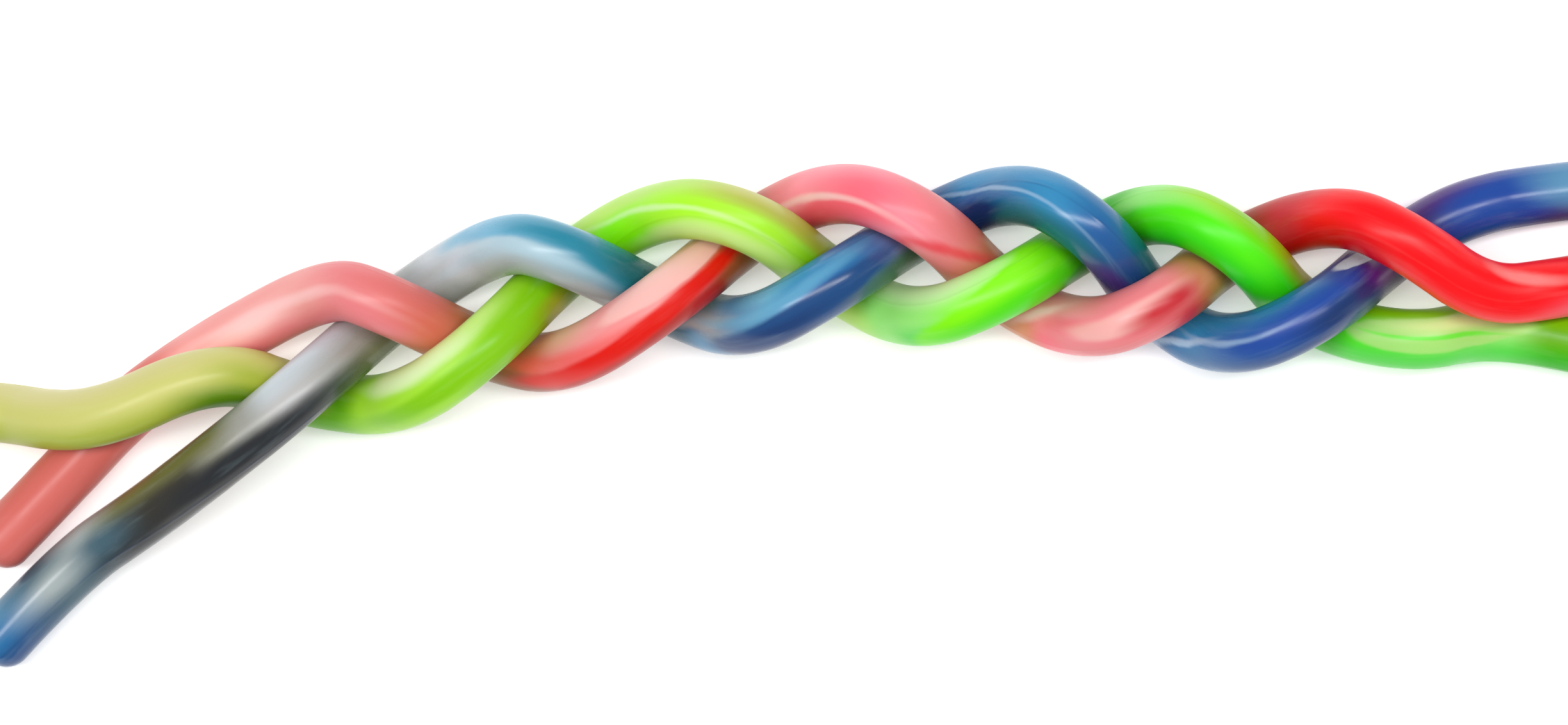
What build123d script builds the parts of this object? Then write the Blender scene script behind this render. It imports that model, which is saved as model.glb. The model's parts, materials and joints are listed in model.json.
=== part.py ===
from build123d import *
import math
import os

# A flat plait of three round rubber strands that lies on a table.
# +X runs along the plait, +Y across it and +Z up. The origin is on the table, under the
# middle of the plait's outline. Lengths are in millimetres.

strand_diameter = 10.0
strand_gap = 0.12        # between two strands where they press on each other
straight_end = 20.0      # the straight run that each strand ends in
tip_radius = 4.0         # rounding round the rim of each end

strand_radius = strand_diameter / 2
spacing = strand_diameter + strand_gap    # centre to centre where strands touch

# The plan and the heights below are in spacings, so that a thicker strand makes a wider
# and longer plait and its strands still pass clear of each other.
outline_middle = (0.375, -0.814)
middle_height = 1.245 * spacing    # the plait's middle plane above the table
rise = 0.81 * spacing              # control height of an over-crossing above that plane
early = 0.6                        # share of the rise a quarter of the way into a crossing
late = 0.7                         # share of the rise that is kept a quarter of the way out
on_table = (strand_radius - middle_height) / rise

# Outer turns from the left end, by turns on one side and the other. Every third turn
# belongs to the same strand.
turns = [
    (-10.0, -2.2), (-7.4, 1.28), (-6.33, -0.77), (-4.65, 2.03), (-3.6, -0.1),
    (-1.95, 2.6), (-0.65, 0.45), (0.9, 2.9), (2.15, 0.6), (3.85, 2.9), (4.9, 0.45),
    (6.2, 2.55), (7.2, 0.15), (8.95, 2.5), (10.2, 0.3),
]

# Crossings from the left end. The strand of turn k goes over at crossing k and under at
# crossing k + 1.
crossings = [
    (-7.9, -0.6), (-6.4, 0.95), (-4.9, 0.15), (-3.5, 1.75), (-1.95, 0.95), (-0.45, 2.3),
    (0.85, 1.3), (2.35, 2.3), (3.55, 1.15), (5.1, 2.1), (6.1, 0.9), (7.4, 1.9),
    (8.6, 0.75), (10.15, 1.9),
]

# Each strand's first turn, its free ends from left to right as (x, y, level, kind), and
# the headings of its two straight ends in degrees. Level 0 is the middle plane. At the
# left end the green strand rides over the red one and then under the blue one.
strands = {
    "green_strand": {
        "first_turn": 2,
        "left": [
            (-13.0, -0.8, on_table, "free"), (-11.3, -1.05, 0.75, "free"),
            (-9.2, -0.06, 0.74, "free"), (*crossings[0], -1, "under"),
        ],
        "right": [(11.5, 0.55, -0.9, "free"), (12.7, 0.4, on_table, "free")],
        "headings": (176, -12),
    },
    "blue_strand": {
        "first_turn": 0,
        "left": [(-11.85, -3.4, on_table, "free")],
        "right": [(11.1, 2.5, -0.6, "free"), (12.2, 2.75, on_table, "free")],
        "headings": (228, 6),
    },
    "red_strand": {
        "first_turn": 1,
        "left": [
            (-11.8, -1.8, on_table, "free"), (-10.85, -0.75, on_table, "free"),
            (-9.35, 0.3, on_table, "free"),
        ],
        "right": [
            (11.4, 1.05, 0.5, "free"), (12.7, 1.22, 0.25, "free"), (13.75, 1.42, on_table, "free"),
        ],
        "headings": (226, 3),
    },
}

quarter_levels = {
    ("turn", "over"): (early, 1),
    ("over", "under"): (late, -late),
    ("under", "turn"): (-1, -early),
    ("turn", "under"): (-early / 2, -late),
}
levels = {"turn": 0, "over": 1, "under": -1}


def coarse_route(first_turn, left, right):
    """The strand's turns and crossings in order, as (x, y, level, kind)."""
    stops = [*left]
    for turn in range(first_turn, len(turns), 3):
        stops.append((*turns[turn], levels["turn"], "turn"))
        if turn < len(crossings):
            stops.append((*crossings[turn], levels["over"], "over"))
        if turn + 1 < len(crossings):
            stops.append((*crossings[turn + 1], levels["under"], "under"))
    return stops + [*right]


def place(x, y, level):
    """A point of the plan, in spacings, as a point of the part."""
    return Vector(
        (x - outline_middle[0]) * spacing,
        (y - outline_middle[1]) * spacing,
        middle_height + level * rise,
    )


def straight_tip(start, heading):
    """The end of the straight run that leaves a point at a heading."""
    angle = math.radians(heading)
    return start + Vector(math.cos(angle), math.sin(angle), 0) * straight_end


def strand_route(first_turn, left, right, headings):
    """The corner points of one strand's centreline, from tip to tip."""
    stops = coarse_route(first_turn, left, right)
    corners = []
    for near, far in zip(stops, stops[1:]):
        plain = (near[2] * 0.75 + far[2] * 0.25, near[2] * 0.25 + far[2] * 0.75)
        quarters = quarter_levels.get((near[3], far[3]), plain)
        for share, level in zip((0.25, 0.75), quarters):
            x = near[0] + (far[0] - near[0]) * share
            y = near[1] + (far[1] - near[1]) * share
            corners.append(place(x, y, level))
    corners[0] = place(*stops[0][:3])
    corners[-1] = place(*stops[-1][:3])
    first_tip = straight_tip(corners[0], headings[0])
    last_tip = straight_tip(corners[-1], headings[1])
    return [first_tip, *corners, last_tip]


def corner_radii(route):
    """The largest arc that each corner's two runs leave room for."""
    radii = []
    for before, corner, after in zip(route, route[1:], route[2:]):
        run_in = corner - before
        run_out = after - corner
        turn = math.radians(run_in.get_angle(run_out))
        radii.append(0.45 * min(run_in.length, run_out.length) / math.tan(turn / 2))
    return radii


def make_strand(name, route):
    """One solid strand with rounded ends, swept along its route."""
    radii = corner_radii(route)
    with BuildPart() as strand:
        with BuildLine():
            centreline = FilletPolyline(*route, radius=radii)
        with BuildSketch(Plane(origin=centreline @ 0, z_dir=centreline % 0)):
            Circle(strand_radius)
        sweep(path=centreline)
        rims = strand.faces().filter_by(GeomType.PLANE).edges()
        fillet(rims, radius=tip_radius)
    strand.part.label = name
    length = centreline.length
    section = math.pi * strand_radius**2
    print(name, "length", round(length, 1), "smallest radii", sorted(round(r, 1) for r in radii)[:5])
    print("   volume", round(strand.part.volume), "section x length", round(section * length))
    return strand.part


os.makedirs("parts", exist_ok=True)
for name, strand in strands.items():
    route = strand_route(strand["first_turn"], strand["left"], strand["right"], strand["headings"])
    export_step(make_strand(name, route), f"parts/{name}.step")
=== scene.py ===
import bisect
import json
import math

import bmesh
import bpy
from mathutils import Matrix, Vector, noise

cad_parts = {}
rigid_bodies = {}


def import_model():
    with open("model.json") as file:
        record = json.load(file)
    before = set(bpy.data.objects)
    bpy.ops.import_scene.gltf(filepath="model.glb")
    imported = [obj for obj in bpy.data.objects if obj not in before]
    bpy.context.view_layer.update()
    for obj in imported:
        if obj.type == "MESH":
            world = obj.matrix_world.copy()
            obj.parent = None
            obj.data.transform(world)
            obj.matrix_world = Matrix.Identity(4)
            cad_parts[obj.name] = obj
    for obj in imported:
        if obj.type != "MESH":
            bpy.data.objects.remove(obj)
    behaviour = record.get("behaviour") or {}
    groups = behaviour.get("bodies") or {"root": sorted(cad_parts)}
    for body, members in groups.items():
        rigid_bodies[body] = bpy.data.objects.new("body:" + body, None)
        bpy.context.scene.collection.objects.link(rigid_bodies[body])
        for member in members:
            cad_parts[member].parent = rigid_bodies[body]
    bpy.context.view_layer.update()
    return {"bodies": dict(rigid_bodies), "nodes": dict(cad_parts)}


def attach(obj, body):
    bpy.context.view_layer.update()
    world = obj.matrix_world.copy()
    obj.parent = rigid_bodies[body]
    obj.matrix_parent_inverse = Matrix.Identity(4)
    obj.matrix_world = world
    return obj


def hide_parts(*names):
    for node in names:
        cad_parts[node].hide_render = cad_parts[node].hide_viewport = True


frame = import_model()
print("frame loaded with", ", ".join(sorted(frame["nodes"])))

mm = 0.001
scene = bpy.context.scene
bodyName = next(iter(frame["bodies"]))

# Three soft rubber strands in a flat plait. Its plan and heights are in spacings, one
# spacing being a strand and its gap, and run from the left end to the right.
plait = {
    "strandDiameter": 0.0100,
    "strandGap": 0.00012,              # left between strands that press on each other
    "outlineMiddle": (0.375, -0.814),
    "middleHeight": 1.245,             # the middle plane above the table
    "rise": 0.81,                      # control height of an over-crossing
    "early": 0.6,                      # share of the rise a quarter of the way up
    "late": 0.7,                       # share of the rise kept a quarter of the way down
    "straightEnd": 0.020,
    "tipRounding": 0.004,
    "lineSteps": 24,                   # points read from each span of a strand's line
    "pointsApart": 1e-7,               # nearer than this, two of them are the same
}
strandRadius = plait["strandDiameter"] / 2
spacing = plait["strandDiameter"] + plait["strandGap"]
middleHeight = plait["middleHeight"] * spacing
rise = plait["rise"] * spacing
early, late = plait["early"], plait["late"]
onTable = (strandRadius - middleHeight) / rise

# the outer turns, on one side and the other, and the crossings between them
turns = [
    (-10.0, -2.2), (-7.4, 1.28), (-6.33, -0.77), (-4.65, 2.03), (-3.6, -0.1),
    (-1.95, 2.6), (-0.65, 0.45), (0.9, 2.9), (2.15, 0.6), (3.85, 2.9), (4.9, 0.45),
    (6.2, 2.55), (7.2, 0.15), (8.95, 2.5), (10.2, 0.3),
]
crossings = [
    (-7.9, -0.6), (-6.4, 0.95), (-4.9, 0.15), (-3.5, 1.75), (-1.95, 0.95), (-0.45, 2.3),
    (0.85, 1.3), (2.35, 2.3), (3.55, 1.15), (5.1, 2.1), (6.1, 0.9), (7.4, 1.9),
    (8.6, 0.75), (10.15, 1.9),
]
levels = {"turn": 0, "over": 1, "under": -1}
legShares = (0.25, 0.75)               # where each leg's two points are
legLevels = {
    ("turn", "over"): (early, 1),
    ("over", "under"): (late, -late),
    ("under", "turn"): (-1, -early),
    ("turn", "under"): (-early / 2, -late),
}


def place(x, y, level):
    return Vector((
        (x - plait["outlineMiddle"][0]) * spacing,
        (y - plait["outlineMiddle"][1]) * spacing,
        middleHeight + level * rise,
    ))


def straightTip(start, heading):
    angle = math.radians(heading)
    return start + Vector((math.cos(angle), math.sin(angle), 0)) * plait["straightEnd"]


# a strand goes over at its own turn's crossing and under at the next one
def strandStops(strand):
    stops = [*strand["left"]]
    for turn in range(strand["firstTurn"], len(turns), 3):
        stops.append((*turns[turn], levels["turn"], "turn"))
        if turn < len(crossings):
            stops.append((*crossings[turn], levels["over"], "over"))
        if turn + 1 < len(crossings):
            stops.append((*crossings[turn + 1], levels["under"], "under"))
    return stops + [*strand["right"]]


# two points stand for each leg between stops, and a straight run is added at each end
def routePoints(strand):
    stops = strandStops(strand)
    corners = []
    for near, far in zip(stops, stops[1:]):
        plain = [near[2] + (far[2] - near[2]) * share for share in legShares]
        heights = legLevels.get((near[3], far[3]), plain)
        for share, level in zip(legShares, heights):
            x = near[0] + (far[0] - near[0]) * share
            y = near[1] + (far[1] - near[1]) * share
            corners.append(place(x, y, level))
    corners[0] = place(*stops[0][:3])
    corners[-1] = place(*stops[-1][:3])
    firstTip = straightTip(corners[0], strand["headings"][0])
    lastTip = straightTip(corners[-1], strand["headings"][1])
    return [firstTip, *corners, lastTip]


# the points along one smooth line that has the route's points as its control points
def smoothLine(name, points):
    data = bpy.data.curves.new(name + "Line", "CURVE")
    data.dimensions = "3D"
    spline = data.splines.new("NURBS")
    spline.points.add(len(points) - 1)
    for knot, point in zip(spline.points, points):
        knot.co = (*point, 1)
    spline.order_u = 3
    spline.use_endpoint_u = True
    spline.resolution_u = plait["lineSteps"]
    line = bpy.data.objects.new(name + "Line", data)
    scene.collection.objects.link(line)
    read = bpy.data.meshes.new_from_object(line)
    walk = [vertex.co.copy() for vertex in read.vertices]
    bpy.data.meshes.remove(read)
    bpy.data.objects.remove(line)
    bpy.data.curves.remove(data)
    apart = plait["pointsApart"]
    return [a for a, b in zip(walk, [None, *walk]) if b is None or (a - b).length > apart]


# What the rubber of all three strands shares. The size of a noise is in mm, along the
# strand and across it both ways, and a range is where its mask begins and is full.
rubber = {
    "driftAlong": 1.8, "driftAcross": 0.7,              # how far its colours drift, in mm
    "wideDrift": (14, 5.5, 5.5), "wideDetail": 1.5,
    "fineDrift": (5, 1.8, 1.8), "fineDetail": 3.0, "fineRoughness": 0.55,
    "fineShare": 0.35,                 # of the wide drift's reach
    "sideRange": (0.05, 0.8),          # of the strand's radius
    "threadSize": (16, 2.2, 2.2), "threadDetail": 3.0, "threadRoughness": 0.6,
    "threadRange": (0.48, 0.78),
    "dragLines": (9, 0.32, 0.32), "lineDepth": 0.006,
    "pores": (0.25, 0.25, 0.25), "poreDetail": 2.0, "poreRoughness": 0.6, "poreDepth": 0.004,
    "smears": (7, 3, 3), "smearRange": (0.3, 0.75),
    "refraction": 1.45,
    "bleedReach": 0.0015, "bleedColour": (1.0, 0.8, 0.6),
}


def feed(tree, socket, value):
    if isinstance(value, bpy.types.NodeSocket):
        tree.links.new(value, socket)
    else:
        socket.default_value = value


def addNode(tree, kind, values=None, **settings):
    node = tree.nodes.new(kind)
    for key, value in settings.items():
        setattr(node, key, value)
    for key, value in (values or {}).items():
        feed(tree, node.inputs[key], value)
    return node


def reckon(tree, operation, *values):
    node = addNode(tree, "ShaderNodeMath", operation=operation)
    for index, value in enumerate(values):
        feed(tree, node.inputs[index], value)
    return node.outputs[0]


def softStep(tree, value, low, high, start=0.0, end=1.0):
    node = addNode(tree, "ShaderNodeMapRange", {
        "Value": value, "From Min": low, "From Max": high, "To Min": start, "To Max": end,
    }, interpolation_type="SMOOTHSTEP")
    return node.outputs["Result"]


# the Mix node has several sockets called A, B and Result, so the colour ones go by number
def mixColour(tree, factor, first, second):
    node = addNode(tree, "ShaderNodeMix", {0: factor, 6: first, 7: second}, data_type="RGBA")
    return node.outputs[2]


def softNoise(tree, vector, size, detail=2.0, roughness=0.5):
    scale = [1 / length for length in size]
    fitted = addNode(tree, "ShaderNodeVectorMath", {0: vector, 1: scale}, operation="MULTIPLY")
    return addNode(tree, "ShaderNodeTexNoise", {
        "Vector": fitted.outputs[0], "Scale": 1.0, "Detail": detail, "Roughness": roughness,
    })


def startGroup(name, inputs, outputs):
    group = bpy.data.node_groups.new(name, "ShaderNodeTree")
    kinds = {"value": "NodeSocketFloat", "vector": "NodeSocketVector", "colour": "NodeSocketColor"}
    for label, kind in inputs:
        group.interface.new_socket(name=label, in_out="INPUT", socket_type=kinds[kind])
    for label, kind in outputs:
        group.interface.new_socket(name=label, in_out="OUTPUT", socket_type=kinds[kind])
    given = group.nodes.new("NodeGroupInput").outputs
    return group, given, group.nodes.new("NodeGroupOutput")


# driftAlong=3 sets the group's socket named Drift Along
def useGroup(tree, group, **values):
    node = addNode(tree, "ShaderNodeGroup", node_tree=group)
    for key, value in values.items():
        label = "".join(" " + c if c.isupper() else c for c in key).title()
        feed(tree, node.inputs[label], value)
    return node.outputs


# How far along and across the strand the colour is taken from, drifting as poured rubber
# does. Along is in mm, and across is -1 to 1 from side to side.
def makeSwirlFlow():
    group, given, out = startGroup(
        "swirlFlow",
        [("Place", "vector"), ("Drift Along", "value"), ("Drift Across", "value")],
        [("Along", "value"), ("Across", "value")],
    )
    wide = softNoise(group, given["Place"], rubber["wideDrift"], rubber["wideDetail"])
    fine = softNoise(group, given["Place"], rubber["fineDrift"], rubber["fineDetail"],
                     rubber["fineRoughness"])
    wideParts = addNode(group, "ShaderNodeSeparateColor", {"Color": wide.outputs["Color"]})
    fineParts = addNode(group, "ShaderNodeSeparateColor", {"Color": fine.outputs["Color"]})
    spot = addNode(group, "ShaderNodeSeparateXYZ", {"Vector": given["Place"]})
    share = rubber["fineShare"]
    moved = []
    for index, amount in enumerate(("Drift Along", "Drift Across")):
        big = reckon(group, "MULTIPLY_ADD", wideParts.outputs[index], 2.0, -1.0)
        small = reckon(group, "MULTIPLY_ADD", fineParts.outputs[index], 2.0 * share, -share)
        drift = reckon(group, "ADD", big, small)
        moved.append(reckon(group, "MULTIPLY_ADD", drift, given[amount], spot.outputs[index]))
    feed(group, out.inputs["Along"], moved[0])
    feed(group, out.inputs["Across"], reckon(group, "DIVIDE", moved[1], strandRadius / mm))
    return group


# three colours across the strand, from one side over the top to the other side
def makeSideBlend():
    group, given, out = startGroup(
        "sideBlend",
        [("Across", "value"), ("Upper", "colour"), ("Middle", "colour"), ("Lower", "colour")],
        [("Colour", "colour")],
    )
    low, high = rubber["sideRange"]
    up = softStep(group, given["Across"], low, high)
    down = softStep(group, given["Across"], -low, -high)
    body = mixColour(group, up, given["Middle"], given["Upper"])
    feed(group, out.inputs["Colour"], mixColour(group, down, body, given["Lower"]))
    return group


# One streak or blob of another colour; some are painted highlights, painted shade and painted
# reflections.
# Tilt turns it towards the side as it runs along, and lean slants its two ends.
def makeStreak():
    group, given, out = startGroup(
        "streak",
        [("Along", "value"), ("Across", "value"), ("Centre Along", "value"),
         ("Centre Across", "value"), ("Half Length", "value"), ("Half Width", "value"),
         ("Tilt", "value"), ("Lean", "value"), ("Edge", "value"), ("Strength", "value")],
        [("Mask", "value")],
    )
    reach = reckon(group, "SUBTRACT", given["Along"], given["Centre Along"])
    side = reckon(group, "SUBTRACT", given["Across"], given["Centre Across"])
    side = reckon(group, "SUBTRACT", side, reckon(group, "MULTIPLY", reach, given["Tilt"]))
    reach = reckon(group, "SUBTRACT", reach, reckon(group, "MULTIPLY", side, given["Lean"]))
    reach = reckon(group, "DIVIDE", reach, given["Half Length"])
    side = reckon(group, "DIVIDE", side, given["Half Width"])
    away = reckon(group, "ADD", reckon(group, "MULTIPLY", reach, reach),
                  reckon(group, "MULTIPLY", side, side))
    away = reckon(group, "SQRT", away)
    near = reckon(group, "SUBTRACT", 1.0, given["Edge"])
    far = reckon(group, "ADD", 1.0, given["Edge"])
    mask = softStep(group, away, far, near)
    feed(group, out.inputs["Mask"], reckon(group, "MULTIPLY", mask, given["Strength"]))
    return group


# faint milky threads drawn out along the strand
def makeMilkThreads():
    group, given, out = startGroup(
        "milkThreads", [("Place", "vector"), ("Strength", "value")], [("Mask", "value")])
    threads = softNoise(group, given["Place"], rubber["threadSize"], rubber["threadDetail"],
                        rubber["threadRoughness"])
    mask = softStep(group, threads.outputs["Fac"], *rubber["threadRange"])
    feed(group, out.inputs["Mask"], reckon(group, "MULTIPLY", mask, given["Strength"]))
    return group


# fine drag lines and pores of the moulded skin, and the smears that dull its gloss
def makeRubberSkin():
    group, given, out = startGroup(
        "rubberSkin",
        [("Place", "vector"), ("Line Depth", "value"), ("Pore Depth", "value")],
        [("Height", "value"), ("Dullness", "value")],
    )
    lines = softNoise(group, given["Place"], rubber["dragLines"]).outputs["Fac"]
    pores = softNoise(group, given["Place"], rubber["pores"], rubber["poreDetail"],
                      rubber["poreRoughness"]).outputs["Fac"]
    smear = softNoise(group, given["Place"], rubber["smears"]).outputs["Fac"]
    height = reckon(group, "MULTIPLY", lines, given["Line Depth"])
    height = reckon(group, "MULTIPLY_ADD", pores, given["Pore Depth"], height)
    feed(group, out.inputs["Height"], height)
    feed(group, out.inputs["Dullness"], softStep(group, smear, *rubber["smearRange"]))
    return group


effects = {
    "flow": makeSwirlFlow(),
    "blend": makeSideBlend(),
    "streak": makeStreak(),
    "threads": makeMilkThreads(),
    "skin": makeRubberSkin(),
}
print("shared effects ready")


# a screen colour's hex code as the linear colour that a shader takes
def paint(code):
    parts = [int(code[i:i + 2], 16) / 255 for i in (0, 2, 4)]
    return (*[c / 12.92 if c < 0.04045 else ((c + 0.055) / 1.055) ** 2.4 for c in parts], 1)


def colourRun(tree, along, stops, colours, length):
    share = reckon(tree, "DIVIDE", along, length)
    ramp = addNode(tree, "ShaderNodeValToRGB", {"Fac": share})
    ramp.color_ramp.interpolation = "EASE"
    points = ramp.color_ramp.elements
    for index, (distance, name) in enumerate(stops):
        stop = points[index] if index < 2 else points.new(1.0)    # a new ramp has two stops
        stop.position = min(distance / length, 1.0)
        stop.color = paint(colours[name])
    return ramp.outputs["Color"]


# the strand's colours at each place, before its seam: sides, then streaks, then threads
def marbledColour(tree, strand, spot, length):
    colours = strand["colours"]
    flow = useGroup(tree, effects["flow"], place=spot, driftAlong=rubber["driftAlong"],
                    driftAcross=rubber["driftAcross"])
    along, across = flow["Along"], flow["Across"]
    upper, middle, lower = [
        colourRun(tree, along, strand[row], colours, length) for row in ("upper", "middle", "lower")
    ]
    colour = useGroup(tree, effects["blend"], across=across, upper=upper, middle=middle,
                      lower=lower)["Colour"]
    for streak in strand["streaks"]:
        mask = useGroup(tree, effects["streak"], along=along, across=across,
                        centreAlong=streak["at"][0], centreAcross=streak["at"][1],
                        halfLength=streak["size"][0], halfWidth=streak["size"][1],
                        tilt=streak.get("tilt", 0), lean=streak.get("lean", 0),
                        edge=streak["edge"], strength=streak.get("strength", 1))["Mask"]
        colour = mixColour(tree, mask, colour, paint(colours[streak["colour"]]))
    threads = useGroup(tree, effects["threads"], place=spot, strength=strand["threadStrength"])
    return mixColour(tree, threads["Mask"], colour, paint(colours[strand["threadColour"]]))


def strandMaterial(strand, length):
    material = bpy.data.materials.new(strand["material"])
    material.use_nodes = True
    tree = material.node_tree
    tree.nodes.clear()
    out = addNode(tree, "ShaderNodeOutputMaterial")
    spot = addNode(tree, "ShaderNodeAttribute", attribute_name="strandPlace").outputs["Vector"]
    colour = marbledColour(tree, strand, spot, length - strand["marbleStart"])
    seam = addNode(tree, "ShaderNodeAttribute", attribute_name="seamLip").outputs["Fac"]
    seam = reckon(tree, "MULTIPLY", seam, strand["seamShade"])
    colour = mixColour(tree, seam, colour, paint(strand["colours"][strand["seamColour"]]))
    skin = useGroup(tree, effects["skin"], place=spot, lineDepth=rubber["lineDepth"],
                    poreDepth=rubber["poreDepth"])
    bump = addNode(tree, "ShaderNodeBump", {
        "Strength": 1.0, "Distance": mm, "Height": skin["Height"],
    })
    shader = addNode(tree, "ShaderNodeBsdfPrincipled", {
        "Base Color": colour,
        "Roughness": softStep(tree, skin["Dullness"], 0.0, 1.0, *strand["roughness"]),
        "Normal": bump.outputs["Normal"],
        "IOR": rubber["refraction"],
        "Specular IOR Level": strand["gloss"],
        "Subsurface Weight": strand["subsurface"],
        "Subsurface Scale": rubber["bleedReach"],
        "Subsurface Radius": rubber["bleedColour"],
    })
    tree.links.new(shader.outputs[0], out.inputs["Surface"])
    return material


# The moulding's own small faults, the same on each strand. Lengths are in mm and angles
# in degrees.
moulding = {
    "ringStep": 0.8,
    "sides": 60,
    "tipSteps": (0.0, 0.04, 0.16, 0.38, 0.7, 1.1, 1.6, 2.2, 2.9, 3.6),    # rings round a tip
    "headingStep": 0.6,                # how far each way a ring looks for its heading
    "unevenness": 0.06,                # the skin sinks by up to this much
    "longSwell": 26, "longShare": 0.6,
    "shortSwell": 7, "shortShare": 0.4,
    "seamSides": (90, -90),            # a parting line along each side
    "seamFoot": 3.2, "seamTop": 1.2,   # half the angles of its foot and its top
    "seamHeight": 0.06,
    "lipSwell": 2.5, "lipMean": 0.55, "lipWander": 0.45,    # how its height comes and goes
    "gateRings": ((0.8, 0.0), (0.72, 0.22), (0.35, 0.3)),   # each one's share of the tip, and lift
    "gateTip": 0.32,
    "gateAim": 2.0,                    # the gate faces away from a point this far inside
}


# a value eased between the stops of a list of (distance, value)
def eased(stops, distance):
    if distance <= stops[0][0]:
        return stops[0][1]
    for (low, before), (high, after) in zip(stops, stops[1:]):
        if distance <= high:
            share = (distance - low) / (high - low)
            return before + (after - before) * share * share * (3 - 2 * share)
    return stops[-1][1]


# smooth noise from -1 to 1 along a strand, a different one for each row
def wander(distance, size, seed, row):
    return noise.noise(Vector((distance / size, seed, row)))


# the angles of a ring's points, with four for each parting line, and which are on its top
def ringAngles():
    foot, top = moulding["seamFoot"], moulding["seamTop"]
    sides = moulding["sides"]
    plain = [i * 360 / sides for i in range(sides)]
    clear = [a for a in plain
             if all(abs((a - s + 180) % 360 - 180) > foot for s in moulding["seamSides"])]
    angles = [(a, False) for a in clear]
    for s in moulding["seamSides"]:
        angles += [((s + turn) % 360, abs(turn) == top) for turn in (-foot, -top, top, foot)]
    return sorted(angles)


# how far along the strand each ring is, closer together round the tips
def ringDistances(length):
    rounding = plait["tipRounding"]
    body = length - 2 * rounding
    count = round(body / (moulding["ringStep"] * mm))
    distances = [step * mm for step in moulding["tipSteps"]]
    distances += [rounding + body * i / count for i in range(count + 1)]
    return distances + [length - step * mm for step in reversed(moulding["tipSteps"])]


def ringRadius(distance, gap, seed):
    rounding = plait["tipRounding"]
    inRounding = rounding - min(gap, rounding)
    radius = strandRadius - rounding + math.sqrt(rounding**2 - inRounding**2)
    swell = moulding["longShare"] * wander(distance, moulding["longSwell"], seed, 0)
    swell += moulding["shortShare"] * wander(distance, moulding["shortSwell"], seed, 3)
    sink = moulding["unevenness"] * mm * (0.5 + 0.5 * swell)
    return radius - sink * radius / strandRadius


# how much of its height the parting line has here, none at the tips and the nicks
def lipShare(distance, gap, strand):
    if gap < plait["tipRounding"] / 2:
        return 0.0
    if any(low < distance < high for low, high in strand["nicks"]):
        return 0.0
    swell = wander(distance, moulding["lipSwell"], strand["seed"], 9)
    return moulding["lipMean"] + moulding["lipWander"] * swell


# a new point of the skin, which keeps its place on the strand and its share of the seam
def addPoint(skin, point, spot, lip=0.0):
    skin["spots"].append(spot)
    skin["lips"].append(lip)
    return skin["build"].verts.new(point)


def joinRings(skin, ring, after, flipped=False):
    for i in range(len(ring)):
        j = (i + 1) % len(ring)
        corners = (ring[i], ring[j], after[j], after[i])
        skin["build"].faces.new(corners[::-1] if flipped else corners)


def closeRing(skin, ring, tip, flipped):
    for i in range(len(ring)):
        corners = (ring[i], ring[(i + 1) % len(ring)], tip)
        skin["build"].faces.new(corners[::-1] if flipped else corners)


# a line's length, and what finds the point at a distance along it
def measureLine(walk):
    reaches = [0.0]
    for a, b in zip(walk, walk[1:]):
        reaches.append(reaches[-1] + (b - a).length)
    length = reaches[-1]

    def pointAt(distance):
        distance = min(max(distance, 0.0), length)
        span = max(bisect.bisect_right(reaches, distance) - 1, 0)
        span = min(span, len(walk) - 2)
        share = (distance - reaches[span]) / (reaches[span + 1] - reaches[span])
        return walk[span].lerp(walk[span + 1], share)

    return length, pointAt


# one ring of the skin, square to the strand's line
def addRing(skin, strand, length, pointAt, distance, angles):
    s = distance / mm
    step = moulding["headingStep"] * mm
    centre = pointAt(distance)
    heading = (pointAt(distance + step) - pointAt(distance - step)).normalized()
    side = Vector((0, 0, 1)).cross(heading).normalized()
    up = heading.cross(side)
    gap = min(distance, length - distance)
    radius = ringRadius(s, gap, strand["seed"])
    lip = lipShare(s, gap, strand)
    twist = eased(strand["seamPath"], s)
    ring = []
    for angle, onSeam in angles:
        turned = math.radians(angle + twist)
        reach = radius + (moulding["seamHeight"] * mm * lip if onSeam else 0)
        across, above = math.sin(turned) * reach, math.cos(turned) * reach
        point = centre + side * across + up * above
        spot = (s - strand["marbleStart"], across / mm, above / mm)
        ring.append(addPoint(skin, point, spot, lip if onSeam else 0.0))
    return ring


# a small gate mark in the middle of an end, facing away from the strand
def addGate(skin, ring, centre, away, along, flipped):
    last = ring
    for size, lift in moulding["gateRings"]:
        inner = []
        for vertex in ring:
            spot = (vertex.co - centre) * size
            point = centre + spot + away * lift * mm
            inner.append(addPoint(skin, point, (along, spot.y / mm, spot.z / mm)))
        joinRings(skin, last, inner, flipped)
        last = inner
    tip = addPoint(skin, centre + away * moulding["gateTip"] * mm, (along, 0.0, 0.0))
    closeRing(skin, last, tip, flipped)


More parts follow.
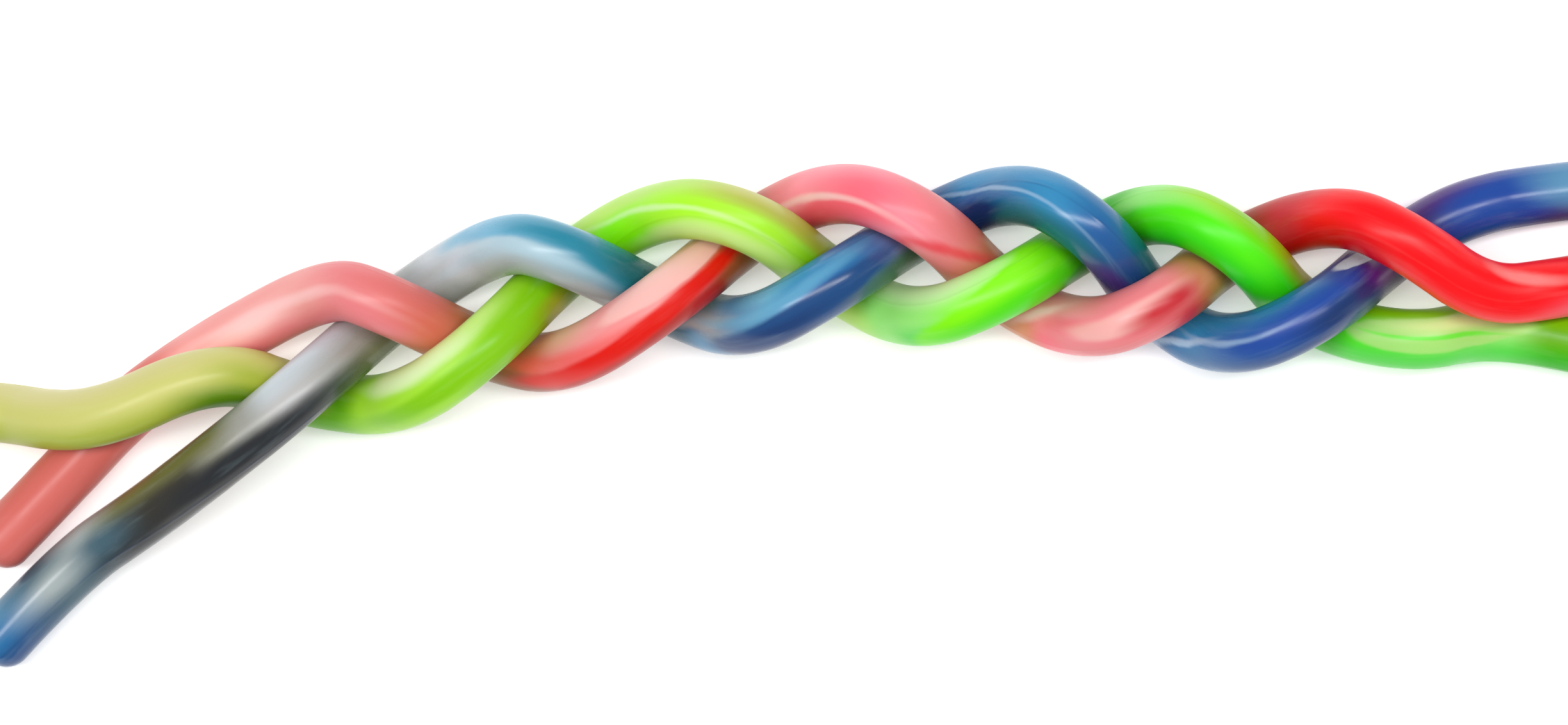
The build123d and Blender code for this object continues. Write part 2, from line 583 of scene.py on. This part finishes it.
def strandMesh(strand, walk):
    length, pointAt = measureLine(walk)
    skin = {"build": bmesh.new(), "spots": [], "lips": []}
    angles = ringAngles()
    rings = [addRing(skin, strand, length, pointAt, distance, angles)
             for distance in ringDistances(length)]
    for ring, after in zip(rings, rings[1:]):
        joinRings(skin, ring, after)
    aim = moulding["gateAim"] * mm
    for ring, end, inside in ((rings[0], 0.0, aim), (rings[-1], length, length - aim)):
        centre = pointAt(end)
        away = (centre - pointAt(inside)).normalized()
        addGate(skin, ring, centre, away, end / mm - strand["marbleStart"], ring is rings[0])
    skin["build"].normal_update()
    mesh = bpy.data.meshes.new(strand["piece"])
    skin["build"].to_mesh(mesh)
    skin["build"].free()
    store = mesh.attributes.new("strandPlace", "FLOAT_VECTOR", "POINT")
    store.data.foreach_set("vector", [value for spot in skin["spots"] for value in spot])
    store = mesh.attributes.new("seamLip", "FLOAT", "POINT")
    store.data.foreach_set("value", skin["lips"])
    for face in mesh.polygons:
        face.use_smooth = True
    return mesh, length


def makeStrand(node, strand):
    walk = smoothLine(strand["piece"], routePoints(strand))
    mesh, length = strandMesh(strand, walk)
    piece = bpy.data.objects.new(strand["piece"], mesh)
    scene.collection.objects.link(piece)
    mesh.materials.append(strandMaterial(strand, length / mm))
    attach(piece, bodyName)
    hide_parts(node)
    print(strand["piece"], "is", round(length / mm, 1), "mm long with", len(mesh.vertices), "points")


# Left and right are the stops of a strand's free ends, as (x, y, level, kind), and headings
# are the directions of its straight ends in degrees. The seam path turns the parting line,
# in degrees by mm along the strand, and a nick breaks it.
# Each strand's colours are placed by their distance along it, in mm from its marbleStart,
# for the plait's upper side in plan, its middle and its lower side. A streak is at that
# distance and at a place across from -1 to 1, and its size is half its length in mm and
# half its width as a share of the radius.
greenStrand = {
    "piece": "greenRubberStrand", "slot": "green_marble", "material": "greenMarbleRubber",
    "length": 0.382, "firstTurn": 2, "marbleStart": 11.7, "seed": 1.7,
    "left": [(-13.0, -0.8, onTable, "free"), (-11.3, -1.05, 0.75, "free"),
             (-9.2, -0.06, 0.74, "free"), (*crossings[0], -1, "under")],
    "right": [(11.5, 0.55, -0.9, "free"), (12.7, 0.4, onTable, "free")],
    "headings": (176, -12),
    "seamPath": [(0, -20), (60, 10), (92, -8), (160, 70), (260, 130), (370, 200)],
    "nicks": [(40, 41), (95, 95.6), (133, 134), (210, 210.8)],
    "roughness": (0.30, 0.40), "gloss": 0.36, "subsurface": 0.06,
    "threadStrength": 0.06, "threadColour": "milk", "seamShade": 0.12, "seamColour": "moss",
    "colours": {
        "straw": "D2CC88", "sage": "CCCC74", "olive": "AAB83E", "moss": "5C8C08", "cream": "DDF6A6",
        "milk": "E6FAC8", "paleLime": "BEEA6A", "lime": "A2E130", "kiwi": "84CB04",
        "leaf": "66B404", "mustard": "A6A41A", "mint": "CDF8AE", "acid": "AEFA2A",
        "neonLime": "84F402", "neon": "52EE02", "pure": "30DC06", "emerald": "36B80E",
        "seaMint": "9AEE76", "jade": "56DC48", "pistachio": "A6E476",
    },
    # In these rows the darker greens at about 74 to 76 mm and 237 to 259 mm, in the blue strand's
    # shadow, are partly painted shade, and the mustard at 290 to 300 mm on the upper side is a
    # painted brown reflection from the strand beside it.
    "upper": [(30, "straw"), (46, "straw"), (55, "sage"), (66, "olive"), (76, "kiwi"), (84, "lime"),
              (91, "cream"), (101, "cream"), (108, "paleLime"), (117, "lime"), (123, "kiwi"),
              (131, "kiwi"), (138, "paleLime"), (148, "paleLime"), (159, "paleLime"), (168, "sage"),
              (180, "olive"), (191, "leaf"), (198, "leaf"), (204, "mint"), (218, "mint"),
              (234, "neonLime"), (241, "emerald"), (256, "emerald"), (265, "seaMint"),
              (274, "lime"), (282, "kiwi"), (290, "mustard"), (300, "mustard"), (308, "emerald"),
              (316, "kiwi"), (344, "kiwi")],
    "middle": [(30, "sage"), (46, "sage"), (55, "olive"), (66, "olive"), (76, "leaf"), (84, "lime"),
               (101, "lime"), (109, "kiwi"), (118, "kiwi"), (124, "leaf"), (134, "leaf"),
               (140, "neonLime"), (150, "acid"), (162, "acid"), (172, "lime"), (180, "kiwi"),
               (188, "olive"), (197, "leaf"), (204, "seaMint"), (214, "seaMint"), (222, "neonLime"),
               (232, "neon"), (239, "emerald"), (259, "emerald"), (267, "neon"), (283, "neon"),
               (291, "pure"), (301, "pure"), (308, "emerald"), (314, "neon"), (338, "seaMint"),
               (347, "leaf")],
    "lower": [(30, "olive"), (40, "olive"), (50, "moss"), (62, "moss"), (74, "leaf"), (84, "lime"),
              (98, "lime"), (105, "kiwi"), (113, "kiwi"), (121, "mustard"), (128, "moss"),
              (138, "neonLime"), (147, "acid"), (157, "paleLime"), (168, "paleLime"),
              (180, "paleLime"), (190, "leaf"), (197, "paleLime"), (206, "seaMint"), (213, "jade"),
              (219, "pure"), (229, "neon"), (237, "leaf"), (247, "moss"), (259, "emerald"),
              (267, "pure"), (298, "pure"), (308, "emerald"), (315, "jade"), (338, "jade"),
              (348, "emerald")],
    "streaks": [
        {"at": (104, -0.28), "size": (21, 0.34), "tilt": 0.014, "edge": 0.4, "colour": "kiwi"},
        # a painted highlight along the upper side, in the milk colour
        {"at": (96, 0.55), "size": (9, 0.22), "edge": 0.8, "colour": "milk", "strength": 0.6},
        {"at": (145, -0.25), "size": (9, 0.6), "edge": 0.6, "colour": "neonLime"},
        {"at": (160, 0.0), "size": (11, 0.5), "edge": 0.7, "colour": "acid", "strength": 0.8},
        # a thin painted highlight across the top, in the milk colour
        {"at": (154, 0.15), "size": (14, 0.09), "tilt": -0.022, "edge": 0.9, "colour": "milk",
         "strength": 0.55},
        # a painted pale reflection along the lower side
        {"at": (160, -0.66), "size": (12, 0.22), "tilt": 0.006, "edge": 0.7, "colour": "cream",
         "strength": 0.45},
        {"at": (172, 0.55), "size": (9, 0.22), "edge": 0.7, "colour": "mustard", "strength": 0.45},
        {"at": (233, 0), "size": (14, 1.7), "lean": 10.5, "edge": 0.1, "colour": "neonLime"},
        {"at": (228, -0.7), "size": (13, 0.4), "tilt": 0.01, "edge": 0.7, "colour": "pure",
         "strength": 0.7},
        # painted shade where the blue strand lies over this one
        {"at": (242, 0.2), "size": (8, 1.1), "edge": 0.7, "colour": "emerald", "strength": 0.7},
        {"at": (267, 0.45), "size": (8, 0.28), "edge": 0.7, "colour": "seaMint", "strength": 0.6},
        {"at": (328, 0.12), "size": (15, 0.62), "lean": 5, "edge": 0.1, "colour": "pistachio"},
        {"at": (329, 0.38), "size": (9, 0.26), "edge": 0.7, "colour": "cream", "strength": 0.8},
        {"at": (326, -0.04), "size": (10, 0.07), "tilt": -0.008, "edge": 0.6, "colour": "neon",
         "strength": 0.75},
    ],
}
blueStrand = {
    "piece": "blueRubberStrand", "slot": "blue_marble", "material": "blueMarbleRubber",
    "length": 0.378, "firstTurn": 0, "marbleStart": 4.0, "seed": 4.2,
    "left": [(-11.85, -3.4, onTable, "free")],
    "right": [(11.1, 2.5, -0.6, "free"), (12.2, 2.75, onTable, "free")],
    "headings": (228, 6),
    "seamPath": [(0, 60), (90, 20), (170, -20), (228, -68), (250, -70), (300, -30), (372, 20)],
    "nicks": [(226.5, 227.1), (229.3, 229.6), (233, 233.4), (238, 238.6)],
    "roughness": (0.22, 0.32), "gloss": 0.5, "subsurface": 0.04,
    "threadStrength": 0.1, "threadColour": "frost", "seamShade": 0.3, "seamColour": "navy",
    "colours": {
        "khaki": "70703E", "charcoal": "36332A", "ink": "25282C", "smoke": "9C9C94",
        "ash": "BCBBBA", "mist": "C6D0D6", "stone": "8A8A78", "haze": "A6B0B0", "frost": "B4D0DC",
        "sky": "6CB2D2", "azure": "338BBC", "lagoon": "2486A0", "teal": "166C76", "fern": "3E6E54",
        "steel": "5A92B8", "slate": "42606E", "cobalt": "1F5A9A", "deep": "164880",
        "navy": "12346C", "royal": "1A479E", "marine": "246EA4", "dusk": "6C74A4",
        "violet": "4A2C7A", "plum": "3A0660", "lichen": "707C58", "thicket": "46543E",
        "milkyHighlightBlue": "A8C8E2", "pearl": "BCCBD4", "magenta": "7A1890",
    },
    # In these rows the greenish colour at about 201 mm and the teal at 232 to 247 mm on the lower
    # side are painted green light bounced from the green strand, and the plum from about 320 mm on
    # is partly violet rubber and partly painted shadow under the red strand.
    "upper": [(0, "steel"), (12, "slate"), (22, "haze"), (34, "khaki"), (53, "khaki"),
              (59, "smoke"), (65, "mist"), (77, "mist"), (84, "ash"), (91, "stone"), (98, "haze"),
              (104, "mist"), (111, "frost"), (118, "sky"), (132, "azure"), (138, "lagoon"),
              (145, "teal"), (155, "teal"), (164, "slate"), (171, "steel"), (179, "sky"),
              (186, "azure"), (194, "marine"), (201, "dusk"), (216, "deep"), (224, "azure"),
              (240, "azure"), (247, "marine"), (254, "teal"), (276, "azure"), (304, "marine"),
              (318, "violet")],
    "middle": [(0, "marine"), (14, "haze"), (26, "slate"), (38, "charcoal"), (47, "charcoal"),
               (53, "stone"), (59, "smoke"), (66, "ash"), (78, "smoke"), (87, "stone"),
               (96, "haze"), (103, "haze"), (110, "mist"), (124, "frost"), (138, "lagoon"),
               (144, "teal"), (158, "slate"), (167, "haze"), (175, "steel"), (187, "cobalt"),
               (195, "marine"), (201, "dusk"), (209, "slate"), (217, "navy"), (224, "cobalt"),
               (232, "marine"), (241, "azure"), (248, "cobalt"), (256, "deep"), (264, "navy"),
               (280, "azure"), (322, "plum")],
    "lower": [(0, "deep"), (16, "slate"), (30, "ink"), (52, "charcoal"), (66, "ink"),
              (72, "thicket"), (81, "lichen"), (89, "lichen"), (97, "stone"), (105, "haze"),
              (113, "mist"), (126, "haze"), (141, "haze"), (149, "stone"), (157, "slate"),
              (164, "steel"), (171, "navy"), (179, "navy"), (187, "deep"), (194, "slate"),
              (201, "fern"), (217, "navy"), (224, "navy"), (232, "teal"), (247, "teal"),
              (254, "deep"), (261, "violet"), (272, "deep"), (280, "marine"), (298, "deep"),
              (306, "navy"), (328, "plum")],
    "streaks": [
        {"at": (56, -0.5), "size": (16, 0.46), "tilt": -0.01, "edge": 0.6, "colour": "ink"},
        {"at": (121, -0.05), "size": (15, 0.26), "edge": 0.8, "colour": "frost", "strength": 0.7},
        {"at": (127, 0.62), "size": (19, 0.4), "tilt": -0.008, "edge": 0.3, "colour": "sky"},
        {"at": (138, 0.42), "size": (14, 0.5), "tilt": -0.012, "edge": 0.4, "colour": "lagoon"},
        {"at": (145, 0.5), "size": (10, 0.6), "edge": 0.5, "colour": "teal"},
        {"at": (165, -0.12), "size": (7, 0.18), "tilt": 0.05, "edge": 0.6, "colour": "haze",
         "strength": 0.9},
        {"at": (180, 0.25), "size": (14, 0.22), "tilt": 0.02, "edge": 0.6, "colour": "sky",
         "strength": 0.65},
        {"at": (184, -0.36), "size": (15, 0.42), "tilt": 0.018, "edge": 0.22, "colour": "deep"},
        {"at": (178, -0.6), "size": (8, 0.25), "tilt": 0.01, "edge": 0.6, "colour": "navy",
         "strength": 0.7},
        {"at": (203, 0.3), "size": (7, 0.5), "edge": 0.7, "colour": "dusk", "strength": 0.45},
        # painted green light bounced from the green strand, on the lower side
        {"at": (202, -0.75), "size": (8, 0.3), "edge": 0.6, "colour": "fern"},
        {"at": (223, -0.38), "size": (9, 0.42), "tilt": -0.01, "edge": 0.4, "colour": "navy"},
        # a painted highlight along the arch's top, partly a pale milky flow
        {"at": (231, 0.22), "size": (14, 0.07), "tilt": -0.03, "edge": 0.7, "colour": "milkyHighlightBlue",
         "strength": 0.6},
        {"at": (258, -0.6), "size": (7, 0.3), "tilt": 0.03, "edge": 0.6, "colour": "violet",
         "strength": 0.8},
        {"at": (302, 0.0), "size": (13, 0.62), "tilt": 0.004, "lean": 5, "edge": 0.6,
         "colour": "royal"},
        # these two pale streaks are painted highlights along the strand's bend
        {"at": (290, 0.02), "size": (8, 0.09), "tilt": 0.01, "edge": 0.8, "colour": "milkyHighlightBlue",
         "strength": 0.55},
        {"at": (280.5, -0.46), "size": (7, 0.12), "tilt": 0.072, "edge": 0.6, "colour": "milkyHighlightBlue",
         "strength": 0.85},
        {"at": (310, -0.4), "size": (9, 0.4), "tilt": -0.005, "edge": 0.5, "colour": "navy"},
        # the dark plum here is partly violet rubber and partly painted shadow under the red strand
        {"at": (322, -0.05), "size": (9, 0.9), "edge": 0.5, "colour": "plum"},
        {"at": (319, 0.0), "size": (4.5, 0.4), "edge": 0.9, "colour": "magenta", "strength": 0.7},
        {"at": (317, 0.52), "size": (6.5, 0.22), "tilt": -0.04, "edge": 0.12, "colour": "pearl"},
        {"at": (348, 0), "size": (13, 1.2), "lean": 6, "edge": 0.4, "colour": "royal"},
        {"at": (366, 0), "size": (12, 1.2), "lean": -5, "edge": 0.5, "colour": "steel"},
    ],
}
redStrand = {
    "piece": "redRubberStrand", "slot": "red_marble", "material": "redMarbleRubber",
    "length": 0.386, "firstTurn": 1, "marbleStart": 12.2, "seed": 7.9,
    "left": [(-11.8, -1.8, onTable, "free"), (-10.85, -0.75, onTable, "free"),
             (-9.35, 0.3, onTable, "free")],
    "right": [(11.4, 1.05, 0.5, "free"), (12.7, 1.22, 0.25, "free"),
              (13.75, 1.42, onTable, "free")],
    "headings": (226, 3),
    "seamPath": [(0, 0), (100, -30), (200, 10), (300, 60), (366, 80)],
    "nicks": [(60, 61), (122, 122.6), (188, 189)],
    "roughness": (0.30, 0.40), "gloss": 0.36, "subsurface": 0.05,
    "threadStrength": 0.05, "threadColour": "blush", "seamShade": 0.12, "seamColour": "brick",
    "colours": {
        "salmon": "F2A09C", "blush": "FCC8C6", "rose": "EC8286", "brick": "D86C64",
        "clay": "DC8A64", "umber": "8E6034", "terracotta": "C0683E", "coral": "DE6A4E",
        "scarlet": "E41404", "crimson": "BA180A", "rust": "943C1A", "milk": "F8C2BA",
        "peach": "ECB49C", "sand": "D8B082", "pink": "FE92A0", "hotPink": "FC6E80",
        "deepPink": "F85A6A", "hotRed": "FC0612", "ruby": "D8020C", "cherry": "CA3038",
        "ochre": "BA8646", "flame": "F25650", "poppy": "EA3C48",
    },
    "upper": [(28, "brick"), (38, "salmon"), (60, "salmon"), (70, "rose"), (80, "brick"),
              (89, "terracotta"), (98, "umber"), (107, "ochre"), (113, "clay"), (120, "peach"),
              (128, "salmon"), (138, "milk"), (148, "sand"), (155, "ochre"), (161, "umber"),
              (169, "rose"), (175, "pink"), (188, "pink"), (195, "rose"), (202, "brick"),
              (209, "terracotta"), (217, "umber"), (227, "rose"), (237, "salmon"), (246, "rose"),
              (255, "rose"), (261, "ochre"), (269, "umber"), (277, "rust"), (287, "cherry"),
              (301, "hotRed"), (345, "hotRed")],
    # the blush at 50 mm in the middle row is a painted highlight
    "middle": [(28, "brick"), (38, "salmon"), (50, "blush"), (64, "salmon"), (73, "rose"),
               (81, "coral"), (88, "clay"), (98, "umber"), (105, "terracotta"), (112, "coral"),
               (120, "rose"), (140, "salmon"), (149, "terracotta"), (157, "umber"), (166, "rose"),
               (172, "pink"), (180, "pink"), (188, "hotPink"), (194, "pink"), (201, "rose"),
               (208, "clay"), (217, "umber"), (227, "rose"), (232, "salmon"), (240, "pink"),
               (252, "rose"), (260, "clay"), (269, "umber"), (277, "rust"), (287, "cherry"),
               (298, "hotRed"), (345, "hotRed")],
    "lower": [(28, "brick"), (40, "rose"), (66, "rose"), (77, "rose"), (85, "clay"), (93, "clay"),
              (101, "umber"), (109, "rust"), (115, "crimson"), (141, "crimson"), (150, "rust"),
              (159, "umber"), (168, "coral"), (177, "deepPink"), (187, "hotPink"), (194, "pink"),
              (201, "rose"), (208, "clay"), (217, "umber"), (227, "clay"), (233, "hotPink"),
              (242, "rose"), (249, "rose"), (255, "cherry"), (262, "ochre"), (271, "rust"),
              (282, "crimson"), (292, "ruby"), (302, "ruby"), (313, "hotRed"), (330, "hotRed"),
              (342, "deepPink")],
    "streaks": [
        # a painted highlight along the first arch
        {"at": (56, 0.14), "size": (17, 0.18), "tilt": -0.012, "edge": 0.8, "colour": "blush",
         "strength": 0.8},
        {"at": (80, 0.25), "size": (8, 0.6), "edge": 0.8, "colour": "brick", "strength": 0.5},
        {"at": (140, 0.5), "size": (12, 0.42), "lean": -4, "edge": 0.12, "colour": "milk",
         "strength": 0.75},
        {"at": (121, -0.12), "size": (14, 0.3), "edge": 0.7, "colour": "flame", "strength": 0.7},
        {"at": (132, -0.4), "size": (24, 0.33), "tilt": 0.013, "edge": 0.3, "colour": "scarlet"},
        {"at": (185, 0.25), "size": (9, 0.4), "edge": 0.7, "colour": "hotPink", "strength": 0.7},
        {"at": (181, -0.55), "size": (12, 0.3), "edge": 0.6, "colour": "deepPink", "strength": 0.7},
        # a painted highlight, pale and thin
        {"at": (179, -0.12), "size": (13, 0.12), "tilt": -0.022, "edge": 0.8, "colour": "blush",
         "strength": 0.9},
        {"at": (202, 0.35), "size": (8, 0.4), "tilt": 0.03, "edge": 0.7, "colour": "brick",
         "strength": 0.5},
        {"at": (201, -0.25), "size": (7.5, 0.2), "tilt": 0.11, "edge": 0.8, "colour": "poppy",
         "strength": 0.85},
        # a painted highlight across the strand
        {"at": (231, 0), "size": (6, 0.2), "tilt": 0.09, "edge": 0.7, "colour": "blush",
         "strength": 0.9},
        {"at": (238, -0.1), "size": (7, 0.3), "tilt": 0.03, "edge": 0.5, "colour": "hotPink",
         "strength": 0.75},
        {"at": (248, -0.02), "size": (9, 0.4), "tilt": 0.02, "edge": 0.3, "colour": "milk",
         "strength": 0.7},
        {"at": (252.5, -0.12), "size": (4.8, 0.34), "tilt": 0.03, "edge": 0.65, "colour": "cherry"},
        {"at": (331, 0.45), "size": (7, 0.22), "tilt": -0.04, "edge": 0.6, "colour": "salmon",
         "strength": 0.6},
        {"at": (350, 0), "size": (8, 0.4), "tilt": -0.03, "edge": 0.6, "colour": "salmon",
         "strength": 0.7},
        {"at": (364, 0), "size": (10, 1.2), "lean": 5, "edge": 0.5, "colour": "rose"},
    ],
}
for node, strand in (("green_strand", greenStrand), ("blue_strand", blueStrand),
                     ("red_strand", redStrand)):
    makeStrand(node, strand)
print("strands laid")

studio = {
    "floorColour": (0.96, 0.96, 0.96, 1), "floorReach": 3.0, "floorRoughness": 0.9,
    "floorGlow": 0.32,                 # as on a light table
    "lookAt": (-0.0038, 0.0082), "viewWidth": 0.2593,
    "cameraHeight": 0.7127, "planeHeight": 0.0127, "sensorWidth": 36,
    "keyPower": 8.6, "keySize": (1.5, 0.16), "keyPlace": (-0.02, 0.09, 0.95),
    "worldColour": (1, 1, 1, 1), "worldStrength": 0.42,
}


def makeFloor():
    reach = studio["floorReach"]
    mesh = bpy.data.meshes.new("studioFloor")
    corners = [(-reach, -reach, 0), (reach, -reach, 0), (reach, reach, 0), (-reach, reach, 0)]
    mesh.from_pydata(corners, [], [(0, 1, 2, 3)])
    floor = bpy.data.objects.new("studioFloor", mesh)
    scene.collection.objects.link(floor)
    material = bpy.data.materials.new("paleFloor")
    material.use_nodes = True
    shader = material.node_tree.nodes["Principled BSDF"]
    shader.inputs["Base Color"].default_value = studio["floorColour"]
    shader.inputs["Roughness"].default_value = studio["floorRoughness"]
    shader.inputs["Emission Color"].default_value = studio["floorColour"]
    shader.inputs["Emission Strength"].default_value = studio["floorGlow"]
    mesh.materials.append(material)


def makeLights():
    lamp = bpy.data.lights.new("keySoftbox", "AREA")
    lamp.shape = "RECTANGLE"
    lamp.size, lamp.size_y = studio["keySize"]
    lamp.energy = studio["keyPower"]
    key = bpy.data.objects.new("keySoftbox", lamp)
    key.location = studio["keyPlace"]
    key.rotation_euler = (-key.location).to_track_quat("-Z", "Y").to_euler()
    scene.collection.objects.link(key)
    world = bpy.data.worlds.new("studioWorld")
    world.use_nodes = True
    background = world.node_tree.nodes["Background"]
    background.inputs["Color"].default_value = studio["worldColour"]
    background.inputs["Strength"].default_value = studio["worldStrength"]
    scene.world = world


# straight above the plait, with the picture's up along +Y
def makeCamera():
    data = bpy.data.cameras.new("viewCamera")
    data.sensor_width = studio["sensorWidth"]
    distance = studio["cameraHeight"] - studio["planeHeight"]
    data.lens = studio["sensorWidth"] * distance / studio["viewWidth"]
    camera = bpy.data.objects.new("viewCamera", data)
    camera.location = (*studio["lookAt"], studio["cameraHeight"])
    scene.collection.objects.link(camera)
    scene.camera = camera


makeFloor()
makeLights()
makeCamera()
scene.view_settings.view_transform = "Standard"
print("studio ready")
